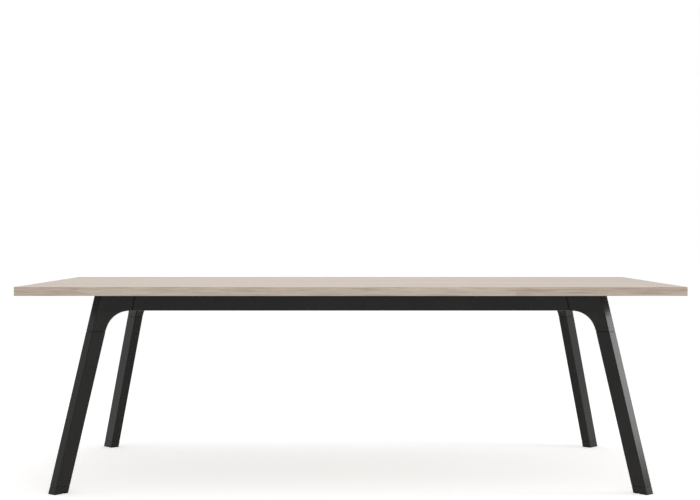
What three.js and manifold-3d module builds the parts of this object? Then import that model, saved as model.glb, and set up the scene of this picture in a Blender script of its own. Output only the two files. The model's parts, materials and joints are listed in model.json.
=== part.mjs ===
// A conference table: a board top with edge bands on a frame of tubes, corner castings and splayed legs.
// X runs along the table, Y across it and Z up from the floor. The origin is on the floor under the middle.
import * as THREE from "three";
import { mergeVertices } from "three/addons/utils/BufferGeometryUtils.js";
import Module from "manifold-3d";

const wasm = await Module();
wasm.setup();

// Top: a board with a thin band on each edge
const TOP_LENGTH = 2400;
const TOP_DEPTH = 1200;
const TABLE_HEIGHT = 743;
const TOP_THICK = 32;
const BAND_THICK = 2;
const BAND_ARRIS = 1.2;

// Beams: rectangular tubes under the top, two long ones and two at the ends
const BEAM_HEIGHT = 60;
const BEAM_WIDTH = 30;
const BEAM_WALL = 2;
const BEAM_CORNER = 3;

// Legs: rectangular tubes turned in plan, whose axes lean outwards from the frame to the floor
const LEG_LONG = 62;
const LEG_SHORT = 40;
const LEG_WALL = 2;
const LEG_CORNER = 4;
const LEG_TURN_DEG = 49;
// Least radius inside the rounded corner of a tube
const LEAST_CORNER = 1;
const FOOT_INSET_X = 149.5;
const FOOT_INSET_Y = 41;
const HEAD_INSET_X = 296.5;
const HEAD_INSET_Y = 154;

// Corner castings: an arc from the leg into each beam, with spigots that enter the three tubes
const ARC_DROP = 74;
const ARC_REACH = 78;
const ARC_FULLNESS = 0.66;
const OUTER_SWEEP = 50;
const INNER_FILLET = 30;
// Greatest share of a wing's length that its sweep or fillet may take
const BLEND_MOST = 0.8;
const CAST_WALL = 5;
const SPIGOT_REACH = 58;
const LUG_SIDE = 70;
const LUG_HOLE_INSET = 20;
// Plate fixed inside the leg, which a bolt in the casting draws up towards the end of the spigot
const LEG_PLATE_THICK = 10;
const LEG_PLATE_GAP = 1;

// Fixing plates: the castings' lugs and the tabs on the long beams have one thickness
const PLATE_THICK = 5;
const TAB_WIDTH = 40;
const TAB_REACH = 30;
const TAB_SPACING = 800;
const TAB_HOLE_INSET = 17;

// Centre rail between the long beams, with a plate welded on each end
const RAIL_HEIGHT = 40;
const RAIL_WIDTH = 25;
const RAIL_WALL = 2;
const RAIL_PLATE_WIDTH = 84;
const RAIL_PLATE_HEIGHT = 50;
const RAIL_PLATE_THICK = 5;
const RAIL_BOLT_SPACING = 58;

// Levelling shoes: each slides out of its leg on a spindle that turns in a fixed nut
const SHOE_HEIGHT = 26;
const SHANK_REACH = 60;
const SHOE_TRAVEL = 15;
const SOLE_SLOT_WIDTH = 9;
const SOLE_SLOT_HEIGHT = 4.5;
const SOLE_SLOT_INSET = 39.5;
const SPINDLE_DIAMETER = 10;
const SPINDLE_CLEAR_OF_FLOOR = 8;
const SPINDLE_KEY = 5;
const SPINDLE_KEY_DEPTH = 6;
const COLLAR_DIAMETER = 18;
const COLLAR_THICK = 5;
const COLLAR_SEAT_DEPTH = 5;
const NUT_HEIGHT = 24;
const NUT_ABOVE_COLLAR = 25;
const SPINDLE_PAST_NUT = 12;

// Fasteners: button-head bolts in the frame, pan-head screws into the top
const BOLT_DIAMETER = 8;
const BOLT_LENGTH = 16;
const BOLT_HEAD_DIAMETER = 14;
const BOLT_HEAD_HEIGHT = 4.4;
const BOLT_KEY = 5;
const BOLT_KEY_DEPTH = 2.5;
const BOLT_INSET = 30;
const SCREW_DIAMETER = 5;
const SCREW_BITE = 22;
const SCREW_TIP = 5;
const SCREW_HEAD_DIAMETER = 11;
const SCREW_HEAD_HEIGHT = 3.6;
const PILOT_EXTRA = 2;
// Shape of both heads: the flat crown as a share of the diameter and the rim as a share of the height
const HEAD_CROWN = 0.72;
const HEAD_RIM = 0.4;
// Key sockets have six sides
const KEY_SIDES = 6;

// Clearances between pieces that fit together
const FIT_GAP = 0.3;
const SLIDE_GAP = 0.4;
const BORE_GAP = 0.5;

// Facets of rounded corners, round pieces and the arc
const CORNER_STEPS = 3;
const ROUND_STEPS = 12;
const ARC_STEPS = 10;
const BLEND_STEPS = 6;
const FILLET_STEPS = 4;
// How far a cutting shape runs past the face that it cuts, and how near two corners count as one
const OVERRUN = 4;
const WELD = 1e-4;

const AXIS_X = new THREE.Vector3(1, 0, 0);
const AXIS_Y = new THREE.Vector3(0, 1, 0);
const AXIS_Z = new THREE.Vector3(0, 0, 1);

// Heights and places that follow from the sizes above, for the corner where X and Y are positive
const UNDERSIDE = TABLE_HEIGHT - TOP_THICK;
const BEAM_BOTTOM = UNDERSIDE - BEAM_HEIGHT;
const BEAM_MIDDLE = UNDERSIDE - BEAM_HEIGHT / 2;
const LEG_TOP = BEAM_BOTTOM - ARC_DROP;
const HEAD = new THREE.Vector2(TOP_LENGTH / 2 - HEAD_INSET_X, TOP_DEPTH / 2 - HEAD_INSET_Y);
const FOOT = new THREE.Vector2(TOP_LENGTH / 2 - FOOT_INSET_X, TOP_DEPTH / 2 - FOOT_INSET_Y);
const LEAN = FOOT.clone().sub(HEAD).divideScalar(UNDERSIDE);
const TURN = THREE.MathUtils.degToRad(LEG_TURN_DEG);
const OUTWARD = new THREE.Vector2(Math.cos(TURN), Math.sin(TURN));
const SIDEWAYS = new THREE.Vector2(-Math.sin(TURN), Math.cos(TURN));
const LEG_UP = new THREE.Vector3(-LEAN.x, -LEAN.y, 1).normalize();
const LEG_DOWN = LEG_UP.clone().negate();
const BOLT_BORE = BOLT_DIAMETER + 2 * BORE_GAP;
const SCREW_BORE = SCREW_DIAMETER + 2 * BORE_GAP;
const SPINDLE_BORE = SPINDLE_DIAMETER + 2 * BORE_GAP;

const axisAt = (z) => FOOT.clone().addScaledVector(LEAN, -z);
const point3 = (flat, z) => new THREE.Vector3(flat.x, flat.y, z);
const mix = (a, b, share) => a.clone().lerp(b, share);

// Solids: a closed geometry becomes a solid that can be joined and cut, and goes back to a geometry.
function solid(geometry) {
  const bare = geometry.clone();
  bare.deleteAttribute("normal");
  bare.deleteAttribute("uv");
  const merged = mergeVertices(bare, WELD);
  const mesh = new wasm.Mesh({
    numProp: 3,
    vertProperties: new Float32Array(merged.attributes.position.array),
    triVerts: new Uint32Array(merged.index.array),
  });
  return new wasm.Manifold(mesh);
}

function geometryOf(body) {
  const mesh = body.getMesh();
  const geometry = new THREE.BufferGeometry();
  geometry.setAttribute("position", new THREE.BufferAttribute(mesh.vertProperties, 3));
  geometry.setIndex(new THREE.BufferAttribute(mesh.triVerts, 1));
  const faceted = geometry.toNonIndexed();
  faceted.computeVertexNormals();
  return faceted;
}

// Outline of a rectangle with round corners about the origin, anticlockwise from the corner on +X, -Y.
function roundedRectangle(width, height, radius) {
  const points = [];
  const centre = new THREE.Vector2(width / 2 - radius, height / 2 - radius);
  const corners = [
    [1, -1],
    [1, 1],
    [-1, 1],
    [-1, -1],
  ];
  corners.forEach(([sx, sy], corner) => {
    for (let i = 0; i <= CORNER_STEPS; i++) {
      const angle = ((corner - 1 + i / CORNER_STEPS) * Math.PI) / 2;
      const x = sx * centre.x + radius * Math.cos(angle);
      const y = sy * centre.y + radius * Math.sin(angle);
      points.push(new THREE.Vector2(x, y));
    }
  });
  return points;
}

function extrude(outline, from, to, hole) {
  const shape = new THREE.Shape(outline);
  if (hole) shape.holes.push(new THREE.Path(hole));
  const geometry = new THREE.ExtrudeGeometry(shape, { depth: to - from, bevelEnabled: false });
  return geometry.translate(0, 0, from);
}

function box(low, high) {
  const size = high.clone().sub(low);
  const middle = low.clone().add(high).multiplyScalar(0.5);
  return new THREE.BoxGeometry(size.x, size.y, size.z).translate(middle.x, middle.y, middle.z);
}

// A round or six-sided bar from a point along a direction.
function bar(diameter, start, direction, length, sides = ROUND_STEPS) {
  const geometry = new THREE.CylinderGeometry(diameter / 2, diameter / 2, length, sides);
  geometry.translate(0, length / 2, 0);
  geometry.applyQuaternion(facing(direction));
  return geometry.translate(start.x, start.y, start.z);
}

function facing(direction) {
  return new THREE.Quaternion().setFromUnitVectors(AXIS_Y, direction.clone().normalize());
}

// Across-flats size of a key socket to the corner diameter of its six-sided bar.
const hexDiameter = (flats) => flats / Math.cos(Math.PI / KEY_SIDES);

// Leg section: outlines in plan, turned with the leg, and prisms that follow its lean.
function legOutline(inset) {
  const radius = Math.max(LEG_CORNER - inset, LEAST_CORNER);
  const outline = roundedRectangle(LEG_LONG - 2 * inset, LEG_SHORT - 2 * inset, radius);
  return outline.map((p) => p.rotateAround(new THREE.Vector2(), TURN));
}

function leaning(geometry) {
  const lean = new THREE.Matrix4().set(
    1, 0, -LEAN.x, FOOT.x,
    0, 1, -LEAN.y, FOOT.y,
    0, 0, 1, 0,
    0, 0, 0, 1,
  );
  return geometry.applyMatrix4(lean);
}

const legPrism = (inset, from, to) => leaning(extrude(legOutline(inset), from, to));

// Point on the leg's axis at a height, and a bar along that axis between two heights.
const legPoint = (z) => point3(axisAt(z), z);
const legBar = (diameter, from, to) => bar(diameter, legPoint(from), LEG_UP, (to - from) / LEG_UP.z);

// A wide disc square to the leg's axis, from a point on it, to cut the leg's prisms square.
const squareDisc = (at, direction, thick) => solid(bar(2 * LEG_LONG, at, direction, thick));

// Edges of the frame tubes at this corner: the long beam runs towards -X and the end beam towards -Y.
const LONG_OUT = HEAD.y + BEAM_WIDTH / 2;
const LONG_IN = HEAD.y - BEAM_WIDTH / 2;
const END_OUT = HEAD.x + BEAM_WIDTH / 2;
const END_IN = HEAD.x - BEAM_WIDTH / 2;

// Beam sections are drawn as width by height and run along the beam's axis.
const ALONG_X = new THREE.Matrix4().makeBasis(AXIS_Y, AXIS_Z, AXIS_X);
const ALONG_Y = new THREE.Matrix4().makeBasis(AXIS_X.clone().negate(), AXIS_Z, AXIS_Y);
const LONG_BEAM_AXES = ALONG_X.clone().setPosition(0, HEAD.y, BEAM_MIDDLE);
const END_BEAM_AXES = ALONG_Y.clone().setPosition(HEAD.x, 0, BEAM_MIDDLE);

function beamOutline(inset) {
  const radius = Math.max(BEAM_CORNER - inset, LEAST_CORNER);
  return roundedRectangle(BEAM_WIDTH - 2 * inset, BEAM_HEIGHT - 2 * inset, radius);
}

const beamSpigot = (from, to) => extrude(beamOutline(BEAM_WALL + FIT_GAP), from, to);

// Leg corners in plan at a height: along is 1 on the outer face, and across is 1 on the long beam's side.
function legCorner(along, across, z) {
  const corner = axisAt(z);
  corner.addScaledVector(OUTWARD, (along * LEG_LONG) / 2);
  return corner.addScaledVector(SIDEWAYS, (across * LEG_SHORT) / 2);
}

// The arc in elevation, from the leg's inner edge up to the underside of a beam, as one cubic curve.
function arcPoint(edgeLow, edgeHigh, share) {
  const low = new THREE.Vector2(edgeLow, LEG_TOP);
  const elbow = new THREE.Vector2(edgeHigh, BEAM_BOTTOM);
  const end = new THREE.Vector2(edgeHigh - ARC_REACH, BEAM_BOTTOM);
  const leave = mix(low, elbow, ARC_FULLNESS);
  const arrive = mix(end, elbow, ARC_FULLNESS);
  return new THREE.CubicBezierCurve(low, leave, arrive, end).getPoint(share);
}

// The seam between casting and beam leans with the leg.
const seamX = (z) => legCorner(-1, 1, z).x - ARC_REACH;
const seamY = (z) => legCorner(-1, -1, z).y - ARC_REACH;

// One horizontal slice of the casting. At share 0 it is the leg's own outline, and at 1 both wings are full.
function castingSlice(z, share, wingX, wingY) {
  const ridge = legCorner(1, 1, z);
  const flank = legCorner(1, -1, z);
  const nearX = legCorner(-1, 1, z);
  const nearY = legCorner(-1, -1, z);
  const outline = legOutline(0).map((p) => p.add(axisAt(z)));
  const turn = CORNER_STEPS + 1;
  const flankRound = outline.slice(0, turn);
  const ridgeRound = outline.slice(turn, 2 * turn);
  const nearXRound = outline.slice(2 * turn, 3 * turn);
  const nearYRound = outline.slice(3 * turn);

  // Each wing's end runs from the leg's round corner to the full width of its beam.
  const endOfX = nearXRound.map((p, i) => {
    const across = THREE.MathUtils.lerp(LONG_OUT, LONG_IN, i / CORNER_STEPS);
    return new THREE.Vector2(p.x + wingX - nearX.x, p.y).lerp(new THREE.Vector2(wingX, across), share);
  });
  const endOfY = nearYRound.map((p, i) => {
    const across = THREE.MathUtils.lerp(END_IN, END_OUT, i / CORNER_STEPS);
    return new THREE.Vector2(p.x, p.y + wingY - nearY.y).lerp(new THREE.Vector2(across, wingY), share);
  });

  // The outer faces sweep from the leg's side faces into the beams' outer faces.
  const bendX = ridge.clone().addScaledVector(OUTWARD, (LONG_OUT - ridge.y) / OUTWARD.y);
  const bendY = flank.clone().addScaledVector(OUTWARD, (END_OUT - flank.x) / OUTWARD.x);
  const ridgeEnd = ridgeRound[CORNER_STEPS];
  const flankStart = flankRound[0];
  const startX = endOfX[0];
  const startY = endOfY[CORNER_STEPS];
  const controlX = mix(mix(ridgeEnd, startX, 0.5), bendX, share);
  const controlY = mix(mix(startY, flankStart, 0.5), bendY, share);
  const joinX = onWay(controlX, startX, OUTER_SWEEP);
  const joinY = onWay(controlY, startY, OUTER_SWEEP);
  const sweepX = [...sweep(ridgeEnd, controlX, joinX, BLEND_STEPS), joinX];
  const sweepY = [joinY, ...sweep(joinY, controlY, flankStart, BLEND_STEPS)];

  // The inner corner between the wings is filleted.
  const insideX = endOfX[CORNER_STEPS];
  const insideY = endOfY[0];
  const corner = mix(mix(nearX, nearY, 0.5), new THREE.Vector2(END_IN, LONG_IN), share);
  const filletX = onWay(corner, insideX, INNER_FILLET);
  const filletY = onWay(corner, insideY, INNER_FILLET);
  const fillet = [filletX, ...sweep(filletX, corner, filletY, FILLET_STEPS), filletY];

  const around = [...flankRound, ...ridgeRound, ...sweepX, ...endOfX, ...fillet, ...endOfY, ...sweepY];
  return around.map((p) => point3(p, z));
}

// A point at a distance on the way from one point to another, no further than a share of the way.
function onWay(from, to, distance) {
  return mix(from, to, Math.min(BLEND_MOST, distance / from.distanceTo(to)));
}

// Points strictly between the ends of a quadratic curve.
function sweep(from, control, to, steps) {
  return new THREE.QuadraticBezierCurve(from, control, to).getPoints(steps).slice(1, -1);
}

// A closed skin through horizontal slices that have the same number of points.
function loft(slices) {
  const count = slices[0].length;
  const positions = slices.flat().flatMap((p) => [p.x, p.y, p.z]);
  const index = [];
  for (let level = 0; level < slices.length - 1; level++) {
    for (let i = 0; i < count; i++) {
      const next = (i + 1) % count;
      const low = level * count;
      const high = low + count;
      index.push(low + i, low + next, high + next, low + i, high + next, high + i);
    }
  }
  const cap = (slice) => THREE.ShapeUtils.triangulateShape(slice.map((p) => new THREE.Vector2(p.x, p.y)), []);
  const last = (slices.length - 1) * count;
  cap(slices[0]).forEach(([a, b, c]) => index.push(a, c, b));
  cap(slices[slices.length - 1]).forEach(([a, b, c]) => index.push(last + a, last + b, last + c));
  const geometry = new THREE.BufferGeometry();
  geometry.setAttribute("position", new THREE.Float32BufferAttribute(positions, 3));
  geometry.setIndex(index);
  return geometry;
}

function castingSkin() {
  const slices = [];
  for (let i = 0; i <= ARC_STEPS; i++) {
    const share = i / ARC_STEPS;
    const onX = arcPoint(legCorner(-1, 1, LEG_TOP).x, legCorner(-1, 1, BEAM_BOTTOM).x, share);
    const onY = arcPoint(legCorner(-1, -1, LEG_TOP).y, legCorner(-1, -1, BEAM_BOTTOM).y, share);
    const rise = (onX.y - LEG_TOP) / ARC_DROP;
    slices.push(castingSlice(onX.y, THREE.MathUtils.smoothstep(rise, 0, 1), onX.x, onY.x));
  }
  slices.push(castingSlice(UNDERSIDE, 1, seamX(UNDERSIDE), seamY(UNDERSIDE)));
  return loft(slices);
}

// Fasteners at this corner: a point on the face under each head and the direction that it goes in.
const SPIGOT_END = legPoint(LEG_TOP - SPIGOT_REACH);
const SPIGOT_FLOOR = SPIGOT_END.clone().addScaledVector(LEG_UP, CAST_WALL);
const legBolt = {
  name: "leg_bolt",
  at: SPIGOT_FLOOR,
  into: LEG_DOWN,
};
const longBeamBolt = {
  name: "long_beam_bolt",
  at: new THREE.Vector3(seamX(BEAM_MIDDLE) - BOLT_INSET, LONG_IN, BEAM_MIDDLE),
  into: AXIS_Y,
};
const endBeamBolt = {
  name: "end_beam_bolt",
  at: new THREE.Vector3(END_IN, seamY(BEAM_MIDDLE) - BOLT_INSET, BEAM_MIDDLE),
  into: AXIS_X,
};
const railBolt = {
  name: "rail_bolt",
  at: new THREE.Vector3(RAIL_BOLT_SPACING / 2, LONG_IN - FIT_GAP - RAIL_PLATE_THICK, BEAM_MIDDLE),
  into: AXIS_Y,
};
const PLATE_UNDER = UNDERSIDE - PLATE_THICK;
const cornerScrew = {
  name: "corner_screw",
  at: new THREE.Vector3(END_IN - LUG_HOLE_INSET, LONG_IN - LUG_HOLE_INSET, PLATE_UNDER),
  into: AXIS_Z,
};
const tabScrew = {
  name: "beam_screw",
  at: new THREE.Vector3(TAB_SPACING / 2, LONG_IN - TAB_HOLE_INSET, PLATE_UNDER),
  into: AXIS_Z,
};

// A hole for a fastener, from just outside its seat to a depth.
function fastenerHole(place, diameter, depth) {
  const start = place.at.clone().addScaledVector(place.into, -OVERRUN);
  return solid(bar(diameter, start, place.into, depth + OVERRUN));
}

function cornerCasting() {
  // The spigot in the leg ends in a floor, square to the leg, that the leg's bolt goes through.
  const spigotInset = LEG_WALL + FIT_GAP;
  const spigotLow = SPIGOT_END.z - LEG_LONG / 2;
  const legSpigot = solid(legPrism(spigotInset, spigotLow, LEG_TOP + OVERRUN))
    .subtract(squareDisc(SPIGOT_END, LEG_DOWN, LEG_LONG));
  const hollow = solid(legPrism(spigotInset + CAST_WALL, spigotLow, UNDERSIDE + OVERRUN))
    .subtract(squareDisc(SPIGOT_FLOOR, LEG_DOWN, LEG_LONG));

  const rootX = seamX(BEAM_BOTTOM) + CAST_WALL;
  const rootY = seamY(BEAM_BOTTOM) + CAST_WALL;
  const spigotX = beamSpigot(seamX(BEAM_MIDDLE) - SPIGOT_REACH, rootX).applyMatrix4(LONG_BEAM_AXES);
  const spigotY = beamSpigot(seamY(BEAM_MIDDLE) - SPIGOT_REACH, rootY).applyMatrix4(END_BEAM_AXES);

  // The wings are hollow from above, with a floor and an end wall left in each.
  const wall = CAST_WALL;
  const floor = BEAM_BOTTOM + wall;
  const open = UNDERSIDE + OVERRUN;
  const hollowX = box(
    new THREE.Vector3(rootX, LONG_IN + wall, floor),
    new THREE.Vector3(HEAD.x, LONG_OUT - wall, open),
  );
  const hollowY = box(
    new THREE.Vector3(END_IN + wall, rootY, floor),
    new THREE.Vector3(END_OUT - wall, HEAD.y, open),
  );

  // The lug for the top's screw fills the inner corner, flush with the casting's top.
  const root = new THREE.Vector2(END_IN + wall / 2, LONG_IN + wall / 2);
  const lug = extrude(
    [
      root,
      new THREE.Vector2(END_IN - LUG_SIDE, root.y),
      new THREE.Vector2(END_IN - LUG_SIDE, LONG_IN - wall),
      new THREE.Vector2(END_IN - wall, LONG_IN - LUG_SIDE),
      new THREE.Vector2(root.x, LONG_IN - LUG_SIDE),
    ],
    PLATE_UNDER,
    UNDERSIDE,
  );

  return solid(castingSkin())
    .subtract(hollow)
    .subtract(solid(hollowX))
    .subtract(solid(hollowY))
    .add(legSpigot.subtract(hollow))
    .add(solid(spigotX))
    .add(solid(spigotY))
    .add(solid(lug))
    .subtract(fastenerHole(cornerScrew, SCREW_BORE, PLATE_THICK + OVERRUN))
    .subtract(fastenerHole(legBolt, BOLT_BORE, CAST_WALL + OVERRUN))
    .subtract(fastenerHole(longBeamBolt, BOLT_BORE, BOLT_LENGTH + OVERRUN))
    .subtract(fastenerHole(endBeamBolt, BOLT_BORE, BOLT_LENGTH + OVERRUN));
}

function leg() {
  const low = SHOE_HEIGHT + FIT_GAP;
  const high = LEG_TOP - FIT_GAP;
  const outside = solid(legPrism(0, low, high));
  const inside = solid(legPrism(LEG_WALL, low - OVERRUN, high + OVERRUN));
  return outside.subtract(inside);
}

function legPlate() {
  const top = SPIGOT_END.clone().addScaledVector(LEG_DOWN, LEG_PLATE_GAP);
  const core = solid(legPrism(LEG_WALL + FIT_GAP, top.z - LEG_LONG, top.z + LEG_LONG));
  const plate = core.intersect(squareDisc(top, LEG_DOWN, LEG_PLATE_THICK));
  return plate.subtract(fastenerHole(legBolt, BOLT_BORE, BOLT_LENGTH + OVERRUN));
}

// Shoe: the foot block, the shank that guides it inside the leg and the bore that its spindle turns in.
const SHANK_TOP = SHOE_HEIGHT + SHANK_REACH;
const COLLAR_SEAT = SHANK_TOP - COLLAR_SEAT_DEPTH;

function shoe() {
  const foot = solid(legPrism(0, 0, SHOE_HEIGHT));
  const shank = solid(legPrism(LEG_WALL + SLIDE_GAP, SHOE_HEIGHT - OVERRUN, SHANK_TOP));
  const bore = solid(legBar(SPINDLE_BORE, -OVERRUN, SHANK_TOP + OVERRUN));
  const seat = solid(legBar(COLLAR_DIAMETER + 2 * BORE_GAP, COLLAR_SEAT, SHANK_TOP + COLLAR_DIAMETER));
  const slotMiddle = LEG_LONG / 2 - SOLE_SLOT_INSET;
  const slot = new THREE.BoxGeometry(SOLE_SLOT_WIDTH, LEG_SHORT + 2 * OVERRUN, 2 * SOLE_SLOT_HEIGHT);
  slot.translate(slotMiddle, 0, 0).rotateZ(TURN);
  return foot.add(shank).subtract(bore).subtract(seat).subtract(solid(leaning(slot)));
}

// Nut by its heights, and spindle by lengths along the leg's axis from the collar's seat in the shoe.
const COLLAR_TOP = FIT_GAP + COLLAR_THICK;
const NUT_LOW = COLLAR_SEAT + COLLAR_TOP + NUT_ABOVE_COLLAR;
const NUT_TOP = NUT_LOW + NUT_HEIGHT;
const SPINDLE_LOW = (SPINDLE_CLEAR_OF_FLOOR - COLLAR_SEAT) / LEG_UP.z;
const SPINDLE_HIGH = (NUT_TOP - COLLAR_SEAT) / LEG_UP.z + SHOE_TRAVEL + SPINDLE_PAST_NUT;

function spindleNut() {
  const block = solid(legPrism(LEG_WALL + FIT_GAP, NUT_LOW, NUT_TOP));
  return block.subtract(solid(legBar(SPINDLE_BORE, NUT_LOW - OVERRUN, NUT_TOP + OVERRUN)));
}

// Turned pieces: profiles run from the lower end of the axis to the upper one.
function turned(profile) {
  const points = profile.map(([radius, along]) => new THREE.Vector2(radius, along));
  return new THREE.LatheGeometry(points, ROUND_STEPS);
}

function spindle() {
  const body = turned([
    [0, SPINDLE_LOW],
    [SPINDLE_DIAMETER / 2, SPINDLE_LOW],
    [SPINDLE_DIAMETER / 2, FIT_GAP],
    [COLLAR_DIAMETER / 2, FIT_GAP],
    [COLLAR_DIAMETER / 2, COLLAR_TOP],
    [SPINDLE_DIAMETER / 2, COLLAR_TOP],
    [SPINDLE_DIAMETER / 2, SPINDLE_HIGH],
    [0, SPINDLE_HIGH],
  ]);
  const keyEnd = new THREE.Vector3(0, SPINDLE_LOW - OVERRUN, 0);
  const key = bar(hexDiameter(SPINDLE_KEY), keyEnd, AXIS_Y, SPINDLE_KEY_DEPTH + OVERRUN, KEY_SIDES);
  return solid(body).subtract(solid(key));
}

// Bolt and screw: the head lies below zero and the shank points along the fastener's direction.
function bolt() {
  const body = turned([
    [0, -BOLT_HEAD_HEIGHT - FIT_GAP],
    [(BOLT_HEAD_DIAMETER / 2) * HEAD_CROWN, -BOLT_HEAD_HEIGHT - FIT_GAP],
    [BOLT_HEAD_DIAMETER / 2, -BOLT_HEAD_HEIGHT * HEAD_RIM - FIT_GAP],
    [BOLT_HEAD_DIAMETER / 2, -FIT_GAP],
    [BOLT_DIAMETER / 2, -FIT_GAP],
    [BOLT_DIAMETER / 2, BOLT_LENGTH],
    [0, BOLT_LENGTH],
  ]);
  return solid(body).subtract(keySocket(-BOLT_HEAD_HEIGHT - FIT_GAP));
}

function topScrew() {
  const tip = PLATE_THICK + SCREW_BITE;
  const body = turned([
    [0, -SCREW_HEAD_HEIGHT - FIT_GAP],
    [(SCREW_HEAD_DIAMETER / 2) * HEAD_CROWN, -SCREW_HEAD_HEIGHT - FIT_GAP],
    [SCREW_HEAD_DIAMETER / 2, -SCREW_HEAD_HEIGHT * HEAD_RIM - FIT_GAP],
    [SCREW_HEAD_DIAMETER / 2, -FIT_GAP],
    [SCREW_DIAMETER / 2, -FIT_GAP],
    [SCREW_DIAMETER / 2, tip - SCREW_TIP],
    [0, tip],
  ]);
  return solid(body).subtract(keySocket(-SCREW_HEAD_HEIGHT - FIT_GAP));
}

function keySocket(face) {
  const start = new THREE.Vector3(0, face - OVERRUN, 0);
  return solid(bar(hexDiameter(BOLT_KEY), start, AXIS_Y, BOLT_KEY_DEPTH + OVERRUN, KEY_SIDES));
}

// A beam's tube with its ends at plus and minus one, ready to be stretched to its seams.
const beamTube = () => extrude(beamOutline(0), -1, 1, beamOutline(BEAM_WALL));

// Moves the two ends of a tube out to a seam that may depend on the height.
function stretch(geometry, axis, seam) {
  const position = geometry.attributes.position;
  for (let i = 0; i < position.count; i++) {
    const side = Math.sign(position.getComponent(i, axis));
    position.setComponent(i, axis, side * seam(position.getZ(i)));
  }
  return geometry;
}

// The same place on the other half of the table, mirrored in X or Y.
function mirrored(place, sx, sy) {
  const flip = new THREE.Vector3(sx, sy, 1);
  return { ...place, at: place.at.clone().multiply(flip), into: place.into.clone().multiply(flip) };
}

function longBeam() {
  let beam = solid(stretch(beamTube().applyMatrix4(LONG_BEAM_AXES), 0, (z) => seamX(z) - FIT_GAP));
  for (const side of [-1, 1]) {
    const middle = (side * TAB_SPACING) / 2;
    const tab = box(
      new THREE.Vector3(middle - TAB_WIDTH / 2, LONG_IN - TAB_REACH, PLATE_UNDER),
      new THREE.Vector3(middle + TAB_WIDTH / 2, LONG_IN + BEAM_WALL, UNDERSIDE),
    );
    beam = beam
      .add(solid(tab))
      .subtract(fastenerHole(mirrored(tabScrew, side, 1), SCREW_BORE, PLATE_THICK + OVERRUN))
      .subtract(fastenerHole(mirrored(longBeamBolt, side, 1), BOLT_BORE, BEAM_WALL + OVERRUN))
      .subtract(fastenerHole(mirrored(railBolt, side, 1), BOLT_BORE, RAIL_PLATE_THICK + BEAM_WALL + OVERRUN));
  }
  return beam;
}

function endBeam() {
  let beam = solid(stretch(beamTube().applyMatrix4(END_BEAM_AXES), 1, (z) => seamY(z) - FIT_GAP));
  for (const side of [-1, 1]) {
    beam = beam.subtract(fastenerHole(mirrored(endBeamBolt, 1, side), BOLT_BORE, BEAM_WALL + OVERRUN));
  }
  return beam;
}

function centreRail() {
  const reach = LONG_IN - FIT_GAP;
  const middle = UNDERSIDE - FIT_GAP - RAIL_HEIGHT / 2;
  const railAxes = ALONG_Y.clone().setPosition(0, 0, middle);
  const section = roundedRectangle(RAIL_WIDTH, RAIL_HEIGHT, RAIL_WALL);
  const outside = extrude(section, -reach, reach).applyMatrix4(railAxes);
  const core = roundedRectangle(RAIL_WIDTH - 2 * RAIL_WALL, RAIL_HEIGHT - 2 * RAIL_WALL, RAIL_WALL / 2);
  const inside = extrude(core, -reach - OVERRUN, reach + OVERRUN).applyMatrix4(railAxes);
  let rail = solid(outside);
  for (const side of [-1, 1]) {
    const plate = new THREE.BoxGeometry(RAIL_PLATE_WIDTH, RAIL_PLATE_THICK, RAIL_PLATE_HEIGHT);
    plate.translate(0, side * (reach - RAIL_PLATE_THICK / 2), BEAM_MIDDLE);
    rail = rail.add(solid(plate));
    for (const end of [-1, 1]) {
      const place = mirrored(railBolt, end, side);
      rail = rail.subtract(fastenerHole(place, BOLT_BORE, RAIL_PLATE_THICK + OVERRUN));
    }
  }
  return rail.subtract(solid(inside));
}

// Each corner of the table as the pair of signs that mirrors the first corner onto it.
const CORNERS = [
  { name: "front_left", sx: -1, sy: -1 },
  { name: "front_right", sx: 1, sy: -1 },
  { name: "back_left", sx: -1, sy: 1 },
  { name: "back_right", sx: 1, sy: 1 },
];

function topPanel() {
  const half = new THREE.Vector2(TOP_LENGTH / 2 - BAND_THICK, TOP_DEPTH / 2 - BAND_THICK);
  let panel = solid(box(point3(half.clone().negate(), UNDERSIDE), point3(half, TABLE_HEIGHT)));
  for (const { sx, sy } of CORNERS) {
    for (const place of [cornerScrew, tabScrew]) {
      const depth = PLATE_THICK + SCREW_BITE + PILOT_EXTRA;
      panel = panel.subtract(fastenerHole(mirrored(place, sx, sy), SCREW_BORE, depth));
    }
  }
  return panel;
}

// Edge band along +X on an edge that faces -Y, with its outer arrises rounded.
function edgeBand(length) {
  const half = TOP_THICK / 2;
  const outline = [new THREE.Vector2(0, -half), new THREE.Vector2(0, half)];
  for (const side of [1, -1]) {
    for (let i = 0; i <= CORNER_STEPS; i++) {
      const angle = (side > 0 ? i : CORNER_STEPS - i) * (Math.PI / 2 / CORNER_STEPS);
      const y = -BAND_THICK + BAND_ARRIS * (1 - Math.sin(angle));
      const z = side * (half - BAND_ARRIS * (1 - Math.cos(angle)));
      outline.push(new THREE.Vector2(y, z));
    }
  }
  return extrude(outline, -length / 2, length / 2).applyMatrix4(ALONG_X);
}

// Finishes
const OAK = { color: 0xd4c9be, roughness: 0.55, metalness: 0 };
const OAK_BAND = { color: 0xb9a996, roughness: 0.5, metalness: 0 };
const BLACK_COAT = { color: 0x2e2d2b, roughness: 0.5, metalness: 0.1 };
const BLACK_PLASTIC = { color: 0x232322, roughness: 0.7, metalness: 0 };
const ZINC = { color: 0x9a9ca0, roughness: 0.4, metalness: 1 };

const table = new THREE.Group();

function addPiece(parent, name, geometry, finish) {
  const mesh = new THREE.Mesh(geometry, new THREE.MeshStandardMaterial(finish));
  mesh.name = name;
  parent.add(mesh);
  return mesh;
}

addPiece(table, "top_panel", geometryOf(topPanel()), OAK);

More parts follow.
